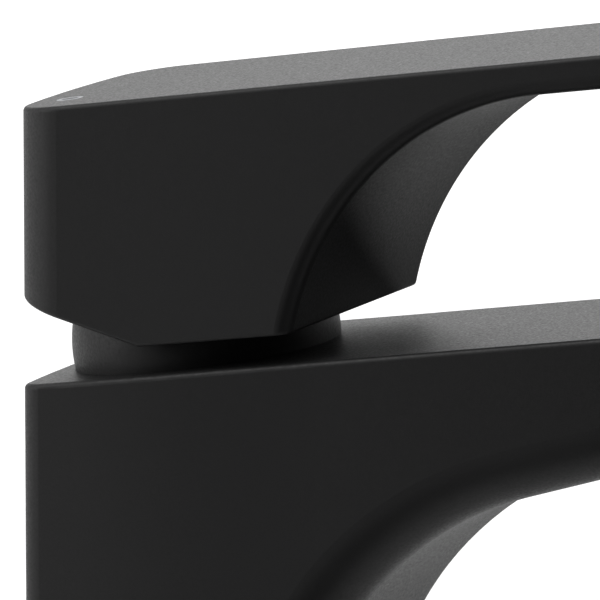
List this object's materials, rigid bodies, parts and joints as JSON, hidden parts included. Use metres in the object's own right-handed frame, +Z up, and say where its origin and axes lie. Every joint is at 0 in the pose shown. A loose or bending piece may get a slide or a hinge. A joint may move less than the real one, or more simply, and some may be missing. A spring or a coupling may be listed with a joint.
{
  "type": "bathroom mixer faucet",
  "caption": "Single-lever basin mixer with an arched block body, flat sloping spout and a block handle that lifts for flow and swivels for temperature.",
  "frame": {"origin": "on the deck plane, straight below the point about which the lever tilts and swivels", "axes": "+X along the spout, +Y to the left seen from behind, +Z up from the deck"},
  "size_m": [0.1466, 0.0526, 0.2011],
  "materials": {
    "matte_black": "fine matte powder coat",
    "brass": "machined",
    "steel": "zinc plated",
    "rubber": "matte",
    "ceramic": "lapped alumina",
    "cartridge_plastic": "moulded",
    "aerator_plastic": "moulded",
    "index": "gloss"
  },
  "bodies": {
    "mixer_body": {"body": "matte_black", "dome": "matte_black", "dome_ring": "rubber", "cartridge_nut": "brass", "cartridge_housing": "cartridge_plastic", "cartridge_base": "cartridge_plastic", "base_seal": "rubber", "fixed_disc": "ceramic", "aerator_housing": "matte_black", "aerator_insert": "aerator_plastic", "aerator_gasket": "rubber", "deck_gasket": "rubber", "mounting_stud": "steel", "clamp_washer": "rubber", "clamp_plate": "steel", "stud_nut": "steel"},
    "swivel": {"swivel_collar": "cartridge_plastic", "pivot_pin": "steel"},
    "lever": {"lever_stem": "brass", "handle": "matte_black", "set_screw": "steel", "screw_plug": "matte_black", "index_dot": "index"},
    "mixing_disc": {"moving_disc": "ceramic", "disc_carrier": "cartridge_plastic"}
  },
  "joints": [
    {"name": "handle_swivel", "type": "hinge", "parent": "mixer_body", "child": "swivel", "pos_m": [0, 0, 0.1], "axis": [-0.1513, 0, 0.9885], "range_deg": [-50, 50]},
    {"name": "lever_lift", "type": "hinge", "parent": "swivel", "child": "lever", "pos_m": [0, 0, 0.1], "axis": [0, -1, 0], "range_deg": [0, 22]},
    {"name": "disc_slide", "type": "slide", "parent": "swivel", "child": "mixing_disc", "axis": [0.9885, 0, 0.1513], "range_m": [0, 0.00402]}
  ],
  "couplings": [
    {"joint": "disc_slide", "follows": "lever_lift", "m_per_rad": 0.010436}
  ]
}
